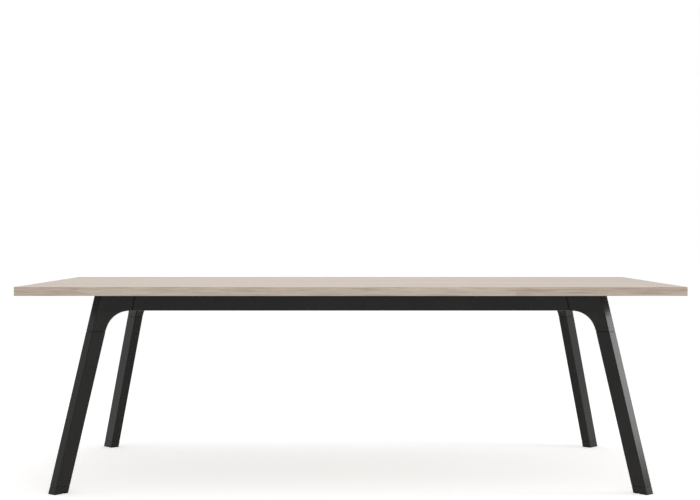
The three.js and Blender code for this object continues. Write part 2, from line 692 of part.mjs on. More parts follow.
const bandHeight = UNDERSIDE + TOP_THICK / 2;
const sideBandLength = TOP_DEPTH - 2 * BAND_THICK;
const bands = [
  { name: "edge_band_front", turn: 0, length: TOP_LENGTH, reach: sideBandLength / 2 },
  { name: "edge_band_back", turn: Math.PI, length: TOP_LENGTH, reach: sideBandLength / 2 },
  { name: "edge_band_left", turn: -Math.PI / 2, length: sideBandLength, reach: TOP_LENGTH / 2 - BAND_THICK },
  { name: "edge_band_right", turn: Math.PI / 2, length: sideBandLength, reach: TOP_LENGTH / 2 - BAND_THICK },
];
for (const { name, turn, length, reach } of bands) {
  const band = addPiece(table, name, edgeBand(length), OAK_BAND);
  band.rotation.z = turn;
  band.position.set(reach * Math.sin(turn), -reach * Math.cos(turn), bandHeight);
}

// The mirrored halves share one shape each.
const longBeamShape = geometryOf(longBeam());
const endBeamShape = geometryOf(endBeam());
for (const [name, sign] of [["front", -1], ["back", 1]]) {
  addPiece(table, `long_beam_${name}`, longBeamShape, BLACK_COAT).scale.y = sign;
}
for (const [name, sign] of [["left", -1], ["right", 1]]) {
  addPiece(table, `end_beam_${name}`, endBeamShape, BLACK_COAT).scale.x = sign;
}
addPiece(table, "centre_rail", geometryOf(centreRail()), BLACK_COAT);

const castingShape = geometryOf(cornerCasting());
const legShape = geometryOf(leg());
const plateShape = geometryOf(legPlate());
const shoeShape = geometryOf(shoe());
const nutShape = geometryOf(spindleNut());
const spindleShape = geometryOf(spindle());
const boltShape = geometryOf(bolt());
const screwShape = geometryOf(topScrew());

function addFastener(parent, place, corner, shape) {
  const piece = addPiece(parent, `${place.name}_${corner}`, shape, ZINC);
  piece.position.copy(place.at);
  piece.quaternion.copy(facing(place.into));
}

for (const { name, sx, sy } of CORNERS) {
  const corner = new THREE.Group();
  corner.scale.set(sx, sy, 1);
  table.add(corner);
  addPiece(corner, `corner_casting_${name}`, castingShape, BLACK_COAT);
  addPiece(corner, `leg_${name}`, legShape, BLACK_COAT);
  addPiece(corner, `leg_plate_${name}`, plateShape, ZINC);
  addPiece(corner, `shoe_${name}`, shoeShape, BLACK_PLASTIC);
  addPiece(corner, `spindle_nut_${name}`, nutShape, ZINC);
  const upright = addPiece(corner, `spindle_${name}`, spindleShape, ZINC);
  upright.position.copy(legPoint(COLLAR_SEAT));
  upright.quaternion.copy(facing(LEG_UP));
  for (const place of [legBolt, longBeamBolt, endBeamBolt, railBolt]) {
    addFastener(corner, place, name, boltShape);
  }
  for (const place of [cornerScrew, tabScrew]) {
    addFastener(corner, place, name, screwShape);
  }
}

export default table;
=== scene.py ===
# %% [markdown]
# # A conference table, dressed on its measured frame
# The table has a light oak-decor top on a black frame. Four legs lean outwards, and a cast corner
# with a wide arc joins each leg to the beams under the top. The measured parts arrive first, and
# every piece made below takes its place and its size from them. All lengths are in metres.

# %% Load the measured parts
import json
import math

import bmesh
import bpy
from mathutils import Matrix, Vector


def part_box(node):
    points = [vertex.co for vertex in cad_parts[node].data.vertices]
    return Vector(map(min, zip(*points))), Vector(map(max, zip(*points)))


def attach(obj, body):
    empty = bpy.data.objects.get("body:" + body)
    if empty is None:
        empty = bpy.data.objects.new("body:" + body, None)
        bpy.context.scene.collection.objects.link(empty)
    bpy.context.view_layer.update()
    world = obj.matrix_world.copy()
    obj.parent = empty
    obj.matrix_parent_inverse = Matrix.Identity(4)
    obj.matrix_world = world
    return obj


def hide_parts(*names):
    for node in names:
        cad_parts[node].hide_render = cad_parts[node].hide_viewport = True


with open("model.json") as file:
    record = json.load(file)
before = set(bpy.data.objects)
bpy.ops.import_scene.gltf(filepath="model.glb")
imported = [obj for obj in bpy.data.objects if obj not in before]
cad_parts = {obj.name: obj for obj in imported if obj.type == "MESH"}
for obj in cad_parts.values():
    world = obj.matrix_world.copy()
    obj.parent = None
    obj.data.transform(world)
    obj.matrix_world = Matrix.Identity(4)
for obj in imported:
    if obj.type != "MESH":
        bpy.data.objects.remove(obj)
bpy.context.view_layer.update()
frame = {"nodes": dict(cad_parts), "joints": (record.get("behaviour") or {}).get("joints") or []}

# %% [markdown]
# ## Nodes for the finishes
# Each finish is a small tree of texture nodes that read Object coordinates. All pieces sit at the
# origin with their place in the mesh, so the pattern is in real metres and runs on from piece to
# piece. The nodes could be added and linked by hand in the shader editor. Here a helper adds a node
# and fills its sockets, which keeps the trees short to read.

# %% Adding nodes
def new_finish(name):
    material = bpy.data.materials.new(name)
    material.use_nodes = True
    tree = material.node_tree
    surface = next(n for n in tree.nodes if n.type == "BSDF_PRINCIPLED")
    place = tree.nodes.new("ShaderNodeTexCoord").outputs["Object"]
    return material, tree, surface, place


def put(tree, kind, inputs, **settings):
    node = tree.nodes.new(kind)
    for key, value in settings.items():
        setattr(node, key, value)
    for key, value in inputs.items():
        if isinstance(value, bpy.types.NodeSocket):
            tree.links.new(value, node.inputs[key])
        else:
            node.inputs[key].default_value = value
    return node.outputs[0]


def math_node(tree, operation, a, b):
    return put(tree, "ShaderNodeMath", {0: a, 1: b}, operation=operation)


print("node helpers ready")

# %% [markdown]
# Every finish below is drawn from the same few steps. Noise stretched in one direction gives grain, a
# remap brings its values into the range that a socket needs, a ramp turns them into colour, and bump
# lets them catch the light.

# %% Grain, range, colour and bump
def grain(tree, place, scale, detail=3.0, roughness=0.5, turn=0.0):
    laid = put(tree, "ShaderNodeMapping", {"Vector": place, "Rotation": (0, 0, turn)})
    stretched = put(tree, "ShaderNodeMapping", {"Vector": laid, "Scale": scale})
    return put(tree, "ShaderNodeTexNoise",
               {"Vector": stretched, "Scale": 1.0, "Detail": detail, "Roughness": roughness})


def remap(tree, value, low, high, start=0.25, end=0.75):
    return put(tree, "ShaderNodeMapRange",
               {"Value": value, "From Min": start, "From Max": end, "To Min": low, "To Max": high})


def ramp(tree, value, stops):
    node = tree.nodes.new("ShaderNodeValToRGB")
    tree.links.new(value, node.inputs["Fac"])
    while len(node.color_ramp.elements) < len(stops):
        node.color_ramp.elements.new(position=0.5)
    for element, (at, colour) in zip(node.color_ramp.elements, stops):
        element.position = at
        element.color = (*colour, 1)
    return node.outputs["Color"]


def bump(tree, surface, height, strength, distance):
    normal = put(tree, "ShaderNodeBump", {"Height": height, "Strength": strength, "Distance": distance})
    tree.links.new(normal, surface.inputs["Normal"])


print("pattern helpers ready")

# %% [markdown]
# ## Oak decor
# The top is a board with a printed oak decor: pale, slightly grey, with long calm figure, growth
# lines, fine fibre and short dark pores that all run along the table. Noise stretched along the grain
# gives each of these at its own size. A picture of oak would do as well, but noise needs no file and
# never repeats. The growth lines come first: a bent wave, sharp on one side as in real oak.

# %% Growth lines
GROWTH_STRETCH = (0.10, 1, 1)
GROWTH_WAVE = {"Scale": 11, "Distortion": 14, "Detail": 3, "Detail Scale": 0.6}


def growth_lines(tree, place, turn):
    laid = put(tree, "ShaderNodeMapping", {"Vector": place, "Rotation": (0, 0, turn)})
    drawn = put(tree, "ShaderNodeMapping", {"Vector": laid, "Scale": GROWTH_STRETCH})
    node = tree.nodes.new("ShaderNodeTexWave")
    node.bands_direction, node.wave_profile = "Y", "SAW"
    tree.links.new(drawn, node.inputs["Vector"])
    for key, value in GROWTH_WAVE.items():
        node.inputs[key].default_value = value
    return node.outputs["Fac"]


print("growth lines:", GROWTH_WAVE)

# %% [markdown]
# The other layers are noise. Broad tone, figure, growth lines and fibre are added up by weight, and a
# ramp makes colour of the sum. The pores darken it last, so that they stay dark on pale wood too.

# %% Oak pattern
BROAD, FIGURE, FIBRE, PORES = (0.55, 7, 7), (1.1, 42, 42), (7, 230, 230), (26, 820, 820)
PORE_SHADE, PORE_DEEP, PORE_CLEAR = 0.86, 0.30, 0.42
OAK_SMOOTHEST, OAK_ROUGHEST = 0.46, 0.60
OAK_BUMP, OAK_DEPTH = 0.18, 0.0002


def oak_finish(name, turn, stops, weights):
    material, tree, surface, place = new_finish(name)
    fibre = grain(tree, place, FIBRE, detail=4, roughness=0.6, turn=turn)
    pores = grain(tree, place, PORES, detail=2, turn=turn)
    broad = grain(tree, place, BROAD, turn=turn)
    figure = grain(tree, place, FIGURE, detail=4, roughness=0.55, turn=turn)
    layers = [broad, figure, growth_lines(tree, place, turn), fibre]
    tone = 0.0
    for layer, weight in zip(layers, weights):
        tone = put(tree, "ShaderNodeMath", {0: layer, 1: weight, 2: tone}, operation="MULTIPLY_ADD")
    colour = ramp(tree, tone, stops)
    dark = remap(tree, pores, PORE_SHADE, 1.0, PORE_DEEP, PORE_CLEAR)
    shaded = put(tree, "ShaderNodeVectorMath", {0: colour, "Scale": dark}, operation="SCALE")
    tree.links.new(shaded, surface.inputs["Base Color"])
    tree.links.new(remap(tree, fibre, OAK_SMOOTHEST, OAK_ROUGHEST), surface.inputs["Roughness"])
    bump(tree, surface, math_node(tree, "ADD", fibre, dark), OAK_BUMP, OAK_DEPTH)
    return material


print("oak pattern ready")

# %% [markdown]
# The edge bands carry the same decor with more fibre and less figure, and at the ends of the table it
# turns to run along the band. One finish for all would show cut grain there, so the pattern is mixed
# three times: for the board, for the long bands, and turned for the bands at the ends.

# %% Oak for the board and the bands
BOARD_WEIGHTS, BAND_WEIGHTS = (0.27, 0.37, 0.08, 0.28), (0.12, 0.26, 0.07, 0.55)
BOARD_STOPS = [(0.36, (0.525, 0.435, 0.350)),
               (0.50, (0.612, 0.524, 0.440)),
               (0.64, (0.680, 0.600, 0.522))]
BAND_STOPS = [(0.40, (0.535, 0.424, 0.327)),
              (0.50, (0.710, 0.588, 0.475)),
              (0.60, (0.822, 0.710, 0.602))]
ALONG_TABLE, ACROSS_TABLE = 0.0, math.pi / 2
oak_board = oak_finish("oak_board", ALONG_TABLE, BOARD_STOPS, BOARD_WEIGHTS)
oak_band_long = oak_finish("oak_band_long", ALONG_TABLE, BAND_STOPS, BAND_WEIGHTS)
oak_band_end = oak_finish("oak_band_end", ACROSS_TABLE, BAND_STOPS, BAND_WEIGHTS)
print("oak finishes:", oak_board.name, oak_band_long.name, oak_band_end.name)

# %% [markdown]
# ## Powder coat, plastic and zinc
# Powder coat is sprayed dry and baked, which leaves a fine even texture of about half a millimetre
# on tubes and castings alike. The moulded shoes are duller, with a coarser grain from the mould. The
# bolts, screws and spindles are zinc-plated steel, cloudy rather than polished. Each could have its
# own tree, but all of them are the same one with other values: a slow cloud and a fine speck drive
# colour, roughness and bump.

# %% Tree of the dull finishes
CLOUD = (6, 6, 6)
CLOUD_SHARE, SPECK_SHARE = 0.55, 0.45
DARK_END, LIGHT_END = 0.36, 0.64
SPECK_BUMP = 0.25


def dull_finish(name, dark, light, rough, sheen, grain_size, bump_height, metallic=0.0):
    material, tree, surface, place = new_finish(name)
    cloud = grain(tree, place, CLOUD)
    speck = grain(tree, place, (1 / grain_size,) * 3, detail=2)
    mixed = math_node(tree, "ADD", math_node(tree, "MULTIPLY", cloud, CLOUD_SHARE),
                      math_node(tree, "MULTIPLY", speck, SPECK_SHARE))
    colour = ramp(tree, mixed, [(DARK_END, dark), (LIGHT_END, light)])
    tree.links.new(colour, surface.inputs["Base Color"])
    tree.links.new(remap(tree, mixed, *rough), surface.inputs["Roughness"])
    surface.inputs["Specular IOR Level"].default_value = sheen
    surface.inputs["Metallic"].default_value = metallic
    bump(tree, surface, speck, SPECK_BUMP, bump_height)
    return material


print("dull tree ready")

# %% [markdown]
# Five finishes come from that tree. The spigots of the castings get a darker, duller one of their own,
#  which is painted shade: it makes the open joints at the seams look black.

# %% Coat, plastic, painted joint shade and zinc
black_coat = dull_finish("black_coat", dark=(0.0090, 0.0086, 0.0072), light=(0.0150, 0.0144, 0.0124),
                         rough=(0.20, 0.26), sheen=0.22, grain_size=0.0006, bump_height=0.00005)
black_casting = dull_finish("black_casting", dark=(0.0090, 0.0086, 0.0074), light=(0.0150, 0.0144, 0.0126),
                            rough=(0.20, 0.26), sheen=0.22, grain_size=0.0008, bump_height=0.00006)
black_plastic = dull_finish("black_plastic", dark=(0.0090, 0.0088, 0.0082), light=(0.0150, 0.0146, 0.0138),
                            rough=(0.30, 0.38), sheen=0.22, grain_size=0.0010, bump_height=0.00008)
# Painted shade: a near-black, dull finish for the spigots, so that the open joints read black.
joint_shade_casting = dull_finish("joint_shade_casting", dark=(0.0030, 0.0030, 0.0028), light=(0.0060, 0.0060, 0.0056),
                           rough=(0.70, 0.85), sheen=0.04, grain_size=0.0010, bump_height=0.00010)
zinc_steel = dull_finish("zinc_steel", dark=(0.38, 0.39, 0.41), light=(0.56, 0.57, 0.58),
                         rough=(0.28, 0.46), sheen=0.5, grain_size=0.0012, bump_height=0.00005,
                         metallic=1.0)
print("dark finishes and zinc ready")

# %% [markdown]
# ## Modelling by operators
# Operators act on whatever is selected, and the measured parts come in selected, so each piece
# starts by deselecting everything. Faces and edges are picked by where they lie and which way they
# face, as one would click them in the viewport. What is picked is then rounded, deleted or moved.

# %% Starting a block and picking parts of it
X, Y, Z = Vector((1, 0, 0)), Vector((0, 1, 0)), Vector((0, 0, 1))
ALIGNED, HAIR = 0.99, 1e-5


def start_block(name, low, high):
    bpy.ops.object.select_all(action="DESELECT")
    bpy.ops.mesh.primitive_cube_add(size=1, location=(Vector(low) + Vector(high)) / 2)
    block = bpy.context.object
    block.name = name
    block.scale = Vector(high) - Vector(low)
    bpy.ops.object.transform_apply(location=True, rotation=True, scale=True)
    return block


def pick(piece, kind, test):
    bpy.ops.object.mode_set(mode="EDIT")
    bpy.ops.mesh.select_mode(type=kind)
    bpy.ops.mesh.select_all(action="DESELECT")
    shape = bmesh.from_edit_mesh(piece.data)
    items = {"VERT": shape.verts, "EDGE": shape.edges, "FACE": shape.faces}[kind]
    chosen = [item for item in items if test(item)]
    for item in chosen:
        item.select_set(True)
    bmesh.update_edit_mesh(piece.data)
    return len(chosen)


def runs(edge, axis):
    span = edge.verts[1].co - edge.verts[0].co
    return abs(span.normalized().dot(axis)) > ALIGNED


def round_picked(width, steps):
    bpy.ops.mesh.bevel(offset=width, segments=steps, profile=0.5, affect="EDGES")


print("modelling helpers ready")

# %% [markdown]
# Modifiers could stay live to the end, but the steps after them work on the mesh that they leave, so
# each is applied at once and every piece ends as a plain mesh. Its shading is smooth over shallow
# bends and sharp over the others.

# %% Applying modifiers and shading
SMOOTH_BELOW = math.radians(35)


def choose(piece):
    bpy.ops.object.mode_set(mode="OBJECT")
    bpy.ops.object.select_all(action="DESELECT")
    piece.select_set(True)
    bpy.context.view_layer.objects.active = piece


def done(piece):
    choose(piece)
    bpy.ops.object.shade_smooth_by_angle(angle=SMOOTH_BELOW)
    return piece


def modify(piece, kind, **settings):
    bpy.ops.object.mode_set(mode="OBJECT")
    bpy.context.view_layer.objects.active = piece
    bpy.ops.object.modifier_add(type=kind)
    added = piece.modifiers[-1]
    for key, value in settings.items():
        setattr(added, key, value)
    bpy.ops.object.modifier_apply(modifier=added.name)


print("smooth below", round(math.degrees(SMOOTH_BELOW)), "degrees")

# %% [markdown]
# ## Handing a finished piece to the frame
# A finished piece gets its finish, rides on a body of the frame, and stands for the measured part
# that it replaces. Its large faces should shade flat right up to their rounded edges. More edge loops
# would do that, and normals weighted by face area do it without any.

# %% Fitting a piece
AREA_WEIGHT = 90


def fit(piece, node, material, body="frame"):
    piece.data.materials.clear()
    piece.data.materials.append(material)
    modify(piece, "WEIGHTED_NORMAL", keep_sharp=True, weight=AREA_WEIGHT)
    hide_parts(node)
    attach(piece, body)
    return piece


print("fitting helper ready")

# %% [markdown]
# ## The top
# The board itself is already right as a measured part, flat on both faces with pilot holes below, so
# it keeps its mesh and only gets its decor. The edge bands are two-millimetre strips with rounded
# outer arrises. A profile swept round the board would look alike, but real bands are four strips that
# meet at the corners, so each is a block at its place whose two outer long edges are bevelled.

# %% Board and edge bands
BAND_ROUND, BAND_STEPS = 0.0012, 6
board = frame["nodes"]["top_panel"]
board.material_slots[0].material = oak_board


def edge_band(side, outward, material):
    node = f"edge_band_{side}"
    low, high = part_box(node)
    band = start_block(f"band_{side}", low, high)
    along = Z.cross(outward)
    reach = max(low.dot(outward), high.dot(outward))

    def is_arris(edge):
        return runs(edge, along) and all(v.co.dot(outward) > reach - HAIR for v in edge.verts)

    print(node, "arrises rounded:", pick(band, "EDGE", is_arris))
    round_picked(BAND_ROUND, BAND_STEPS)
    fit(done(band), node, material)


for side, outward, material in (("front", -Y, oak_band_long), ("back", Y, oak_band_long),
                                ("left", -X, oak_band_end), ("right", X, oak_band_end)):
    edge_band(side, outward, material)

# %% [markdown]
# ## A rounded tube
# Beams, rail and legs are welded rectangular tubes. A tube is a block with its long edges bevelled
# round, its two end faces deleted, and a wall added inwards by Solidify. Cutting a smaller block out of
# a larger one would also hollow it, but Solidify keeps the wall even where the ends are slanted. The
# rims get a small bevel.

# %% Tube helpers
TUBE_STEPS, SOFT_STEPS = 6, 2
SOFTEN_ABOVE = math.radians(50)
SEAM_RIM = 0.0004


def open_tube(name, low, high, axis, radius):
    tube = start_block(name, low, high)
    pick(tube, "EDGE", lambda edge: runs(edge, axis))
    round_picked(radius, TUBE_STEPS)
    pick(tube, "FACE", lambda face: abs(face.normal.dot(axis)) > ALIGNED)
    bpy.ops.mesh.delete(type="FACE")
    bpy.ops.object.mode_set(mode="OBJECT")
    return tube


def soften(piece, width):
    modify(piece, "BEVEL", width=width, segments=SOFT_STEPS,
           limit_method="ANGLE", angle_limit=SOFTEN_ABOVE)


def wall_tube(tube, wall):
    modify(tube, "SOLIDIFY", thickness=wall, offset=-1, use_even_offset=True)
    soften(tube, SEAM_RIM)


print("tube helpers ready")

# %% [markdown]
# ## How the legs stand
# Every leg slides its levelling shoe along its own axis, so the shoe's joint already says how the
# leg leans. Reading the lean from the joint is better than typing it again, because the pieces then
# follow the frame if it is ever resized. All corners are mirror images, so one corner is modelled,
# the one where X and Y are positive, and copied to the other three.

# %% Lean of the legs
joints = {joint["name"]: joint for joint in frame["joints"]}
slide = Vector(joints["shoe_slide_back_right"]["axis"])
pivot = Vector(joints["spindle_turn_back_right"]["pos_m"])
LEAN = Vector((slide.x, slide.y)) / -slide.z
print("the leg leans", [round(1000 * x, 1) for x in LEAN], "mm for each metre of height")

# %% [markdown]
# ## Cuts and open joints
# Where a beam meets a casting, an open joint shows as a thin dark line on the real table. It could be
# a painted line, but then it would not catch the light as a gap does. So a cut is made a little way in
# from the end of the tube, and the upright walls beyond it are deleted.

# %% Cuts and open joints
UPRIGHT = 0.1


def slice_tube(tube, at, normal, cut_off):
    bpy.ops.object.mode_set(mode="EDIT")
    bpy.ops.mesh.select_all(action="SELECT")
    bpy.ops.mesh.bisect(plane_co=at, plane_no=normal, clear_outer=cut_off, use_fill=False)
    bpy.ops.object.mode_set(mode="OBJECT")


def open_joint(tube, at, slant):
    def past_joint(face):
        return (face.calc_center_median() - at).dot(slant) > 0 and abs(face.normal.z) < UPRIGHT

    pick(tube, "FACE", past_joint)
    bpy.ops.mesh.delete(type="FACE")
    bpy.ops.object.mode_set(mode="OBJECT")


print("cutting helpers ready")

# %% [markdown]
# ## Beams
# The long beams carry the top between the corners, and the end beams close the frame. Their ends are
# cut on a slant, because the seam to the casting leans with the leg. Moving the end points would also
# slant them, but a plane cuts all walls alike, so an over-long tube is cut by a slanted plane.

# %% Beam tubes
BEAM_WIDTH, BEAM_ROUND, BEAM_WALL, BEAM_JOINT, BEAM_SPARE = 0.030, 0.003, 0.002, 0.0026, 0.03
long_low, long_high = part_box("long_beam_back")
end_low, end_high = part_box("end_beam_right")
BEAM_BOTTOM, UNDERSIDE = end_low.z, end_high.z
LONG_IN = long_high.y - BEAM_WIDTH


def slanted_beam(name, low, high, axis, slope):
    spare = BEAM_SPARE * axis
    tube = open_tube(name, low - spare, high + spare, axis, BEAM_ROUND)
    for side in (-1, 1):
        slant = side * axis + slope * Z
        at = side * high.dot(axis) * axis + BEAM_BOTTOM * Z
        slice_tube(tube, at, slant, cut_off=True)
        at -= side * BEAM_JOINT * axis
        slice_tube(tube, at, slant, cut_off=False)
        open_joint(tube, at, slant)
    wall_tube(tube, BEAM_WALL)
    return tube


long_beam = slanted_beam("long_beam", Vector((long_low.x, LONG_IN, long_low.z)), long_high, X, LEAN.x)
end_beam = slanted_beam("end_beam", end_low, end_high, Y, LEAN.y)
print("long beam", round(2 * long_high.x, 3), "m, end beam", round(2 * end_high.y, 3), "m")

# %% [markdown]
# Each long beam has two tabs welded to its inner face, where screws go up into the top. A tab is a
# thin block with its corners rounded in plan and its edges softened. It could be united with the tube
# by a boolean, but that leaves slivers in so thin a wall. So it reaches a millimetre into the wall and
# is joined to the beam as a shell of its own, like a plate held by its weld.

# %% Tabs on the long beam
TAB_PLACE, TAB_WIDTH = 0.400, 0.040
PLATE_THICK, PLATE_CORNER, PLATE_STEPS, PLATE_EDGE = 0.005, 0.004, 4, 0.0005


def soft_plate(name, low, high, axis):
    plate = start_block(name, low, high)
    pick(plate, "EDGE", lambda edge: runs(edge, axis))
    round_picked(PLATE_CORNER, PLATE_STEPS)
    soften(plate, PLATE_EDGE)
    return plate


def join(piece, others):
    choose(piece)
    for other in others:
        other.select_set(True)
    bpy.ops.object.join()
    return piece


tabs = []
for side in (-1, 1):
    middle = side * TAB_PLACE
    low = (middle - TAB_WIDTH / 2, long_low.y, UNDERSIDE - PLATE_THICK)
    high = (middle + TAB_WIDTH / 2, LONG_IN + BEAM_WALL / 2, UNDERSIDE)
    tabs.append(soft_plate("tab", low, high, Z))
done(join(long_beam, tabs))
done(end_beam)
print("long beam faces:", len(long_beam.data.polygons), "end beam faces:", len(end_beam.data.polygons))

# %% [markdown]
# One long beam and one end beam are made, and the others are their mirror images. The Mirror modifier
# would keep both halves in one mesh, so a copy gets a negative scale instead. That can turn its mesh
# inside out, so its normals are recalculated. The two beams that were modelled are removed once their
# copies are in place.

# %% Beams on all four sides
def copy_of(master, name, sx=1, sy=1):
    choose(master)
    bpy.ops.object.duplicate(linked=False)
    copy = bpy.context.object
    copy.name = name
    copy.scale = (sx, sy, 1)
    bpy.ops.object.transform_apply(location=True, rotation=True, scale=True)
    if sx * sy < 0:
        bpy.ops.object.mode_set(mode="EDIT")
        bpy.ops.mesh.select_all(action="SELECT")
        bpy.ops.mesh.normals_make_consistent(inside=False)
        bpy.ops.object.mode_set(mode="OBJECT")
    return copy


for side, sign in (("front", -1), ("back", 1)):
    fit(copy_of(long_beam, f"long_tube_{side}", 1, sign), f"long_beam_{side}", black_coat)
for side, sign in (("left", -1), ("right", 1)):
    fit(copy_of(end_beam, f"end_tube_{side}", sign, 1), f"end_beam_{side}", black_coat)
for made in (long_beam, end_beam):
    bpy.data.objects.remove(made)
print("beams on four sides, joints open by", 1000 * BEAM_JOINT, "mm")

# %% [markdown]
# ## Centre rail
# A smaller tube between the long beams keeps the top from sagging. A plate on each of its ends is
# bolted to the beam. The plates are softened blocks, and a boolean unites them with the tube, whose
# ends stop inside them. Joining would leave those ends hidden inside the plates.

# %% Rail with its end plates
RAIL_WIDTH, RAIL_HEIGHT, RAIL_WALL, RAIL_ROUND, RAIL_PLATE = 0.025, 0.040, 0.002, 0.003, 0.050
rail_low, rail_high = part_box("centre_rail")


def unite(piece, others):
    for other in others:
        modify(piece, "BOOLEAN", operation="UNION", solver="EXACT", object=other)
        bpy.data.objects.remove(other)
    return piece


tube_end = rail_high.y - PLATE_THICK / 2
tube_low = Vector((-RAIL_WIDTH / 2, -tube_end, rail_high.z - RAIL_HEIGHT))
tube_high = Vector((RAIL_WIDTH / 2, tube_end, rail_high.z))
rail = open_tube("rail_tube", tube_low, tube_high, Y, RAIL_ROUND)
wall_tube(rail, RAIL_WALL)
plates = []
for side in (-1, 1):
    outer, inner = side * rail_high.y, side * (rail_high.y - PLATE_THICK)
    low = (rail_low.x, min(outer, inner), rail_low.z)
    high = (rail_high.x, max(outer, inner), rail_low.z + RAIL_PLATE)
    plates.append(soft_plate("plate", low, high, Y))
fit(done(unite(rail, plates)), "centre_rail", black_coat)
print("rail faces:", len(rail.data.polygons))

# %% [markdown]
# ## Legs
# A leg is a rectangular tube turned in plan and leaning outwards. It starts upright as a rounded
# tube, is turned as a whole, and then its lower end and its upper end are each moved to where the
# leg's axis passes at that height. Moving the ends keeps both of them level, as they are on the real
# leg, which tilting the tube would not.

# %% Section and lean of a leg
LEG_LONG, LEG_SHORT, LEG_TURN = 0.062, 0.040, math.radians(49)


def leg_axis(z):
    drop = pivot.z - z
    return Vector((pivot.x + LEAN.x * drop, pivot.y + LEAN.y * drop, z))


def leg_section(inset, low, high):
    half = Vector((LEG_LONG / 2 - inset, LEG_SHORT / 2 - inset, 0))
    return -half + low * Z, half + high * Z


def lean(piece, low, high):
    bpy.ops.object.mode_set(mode="OBJECT")
    piece.rotation_euler.z = LEG_TURN
    bpy.ops.object.transform_apply(location=True, rotation=True, scale=True)
    middle = (low + high) / 2
    for at, test in ((low, lambda v: v.co.z < middle), (high, lambda v: v.co.z > middle)):
        pick(piece, "VERT", test)
        place = leg_axis(at)
        bpy.ops.transform.translate(value=(place.x, place.y, 0))
    bpy.ops.object.mode_set(mode="OBJECT")


print("leg section", LEG_LONG, "by", LEG_SHORT, "m, turned", round(math.degrees(LEG_TURN)), "degrees")

# %% [markdown]
# The leg stops a little short of the casting and of the shoe. These gaps are its open joints. They
# could be cut as on the beams, but the leg's ends are level, so a shorter tube does the same.

# %% Leg tube
LEG_WALL, LEG_ROUND, LEG_JOINT = 0.002, 0.004, 0.0014
leg_low, leg_high = (corner.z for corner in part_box("leg_back_right"))
tube_bottom, tube_top = leg_low + LEG_JOINT, leg_high - LEG_JOINT
leg = open_tube("leg", *leg_section(0, tube_bottom, tube_top), Z, LEG_ROUND)
lean(leg, tube_bottom, tube_top)
wall_tube(leg, LEG_WALL)
print("leg from", round(tube_bottom, 4), "m to", round(tube_top, 4), "m")

# %% [markdown]
# What is made for one corner goes to all four as mirrored copies. Linked copies would be lighter, but
# each piece needs a mesh of its own, because its place is in its mesh.

# %% Legs on four corners
CORNERS = {"front_left": (-1, -1), "front_right": (1, -1), "back_left": (-1, 1), "back_right": (1, 1)}


def to_corners(master, name, node, material, body="frame"):
    for corner, (sx, sy) in CORNERS.items():
        copy = copy_of(master, f"{name}_{corner}", sx, sy)
        rides = body if body == "frame" else f"{body}_{corner}"
        fit(copy, f"{node}_{corner}", material, rides)
    print(name, "on four corners,", len(master.data.polygons), "faces each")
    bpy.data.objects.remove(master)


to_corners(done(leg), "leg_tube", "leg", black_coat)

# %% [markdown]
# ## Corner castings
# The casting is the piece that gives the table its character: the leg's section opens in one arc
# into both beams. It could be lofted anew, but its measured part already has that form with all its
# hollows and its lug, so a copy of it is freed from its body and labels and merged into a clean mesh.
# Flat faces made of many triangles become one face each.

# %% Casting as a clean mesh
MERGE, ALONG_AXIS = 1e-6, 0.99999
SAME_PLANE = math.radians(0.2)
casting = copy_of(frame["nodes"]["corner_casting_back_right"], "casting")
casting.parent = None
for key in list(casting.keys()):
    del casting[key]
bpy.ops.mesh.customdata_custom_splitnormals_clear()
bpy.ops.object.mode_set(mode="EDIT")
bpy.ops.mesh.select_all(action="SELECT")
bpy.ops.mesh.remove_doubles(threshold=MERGE)
bpy.ops.mesh.normals_make_consistent(inside=False)
print("flat faces joined:", pick(casting, "FACE", lambda face: max(map(abs, face.normal)) > ALONG_AXIS))
bpy.ops.mesh.dissolve_limited(angle_limit=SAME_PLANE)

# %% [markdown]
# Where the arc runs out into the underside of the beam, the measured part has thin slivers, which
# would shade unevenly. Their shared edges are dissolved, then the points that this leaves on straight
# edges, and pairs of triangles become quads.

# %% Where the arc runs out
SHALLOW, NEARLY_FLAT, STRAIGHT = 0.008, math.radians(2), math.radians(179.5)
QUAD_BEND, QUAD_SKEW = math.radians(30), math.radians(60)


def in_shallow(edge):
    near = all(0 <= BEAM_BOTTOM + HAIR - v.co.z < SHALLOW for v in edge.verts)
    return near and abs(edge.calc_face_angle_signed(1)) < NEARLY_FLAT


def is_spare(vert):
    if len(vert.link_edges) != 2:
        return False
    one, two = (edge.other_vert(vert).co - vert.co for edge in vert.link_edges)
    return one.angle(two) > STRAIGHT


print("edges joined where the arc runs out:", pick(casting, "EDGE", in_shallow))
bpy.ops.mesh.dissolve_edges(use_verts=False)
print("points left over on straight edges:", pick(casting, "VERT", is_spare))
bpy.ops.mesh.dissolve_verts()
bpy.ops.mesh.select_all(action="SELECT")
bpy.ops.mesh.tris_convert_to_quads(face_threshold=QUAD_BEND, shape_threshold=QUAD_SKEW)
print("casting merged:", len(bmesh.from_edit_mesh(casting.data).faces), "faces")

# %% [markdown]
# Four edges follow the arcs. Next to the beams they are about as round as the beams' own edges, and
# towards the leg they run out into its round corners. Two bevels of different width would leave a
# step. A bevel weighted by height gives both in one: no width at the leg, growing to the full width
# near the beams.

# %% Round edges of the casting
ARC_ROUND, ARC_STEPS, TAPER_START, TAPER_RISE = 0.0025, 4, 0.014, 0.038
ARC_BEND, LEAST_CLIMB, SEAM_CLEAR = math.radians(28), 1e-4, 1e-3
OUTWARD = Vector((math.cos(LEG_TURN), math.sin(LEG_TURN), 0))


def along_arc(edge):
    low, high = sorted(v.co.z for v in edge.verts)
    middle = (edge.verts[0].co + edge.verts[1].co) / 2
    inner = (middle - leg_axis(middle.z)).dot(OUTWARD) < 0
    climbs = high - low > LEAST_CLIMB and low > leg_high + SEAM_CLEAR and high < BEAM_BOTTOM + HAIR
    return inner and climbs and edge.calc_face_angle_signed(0) > ARC_BEND


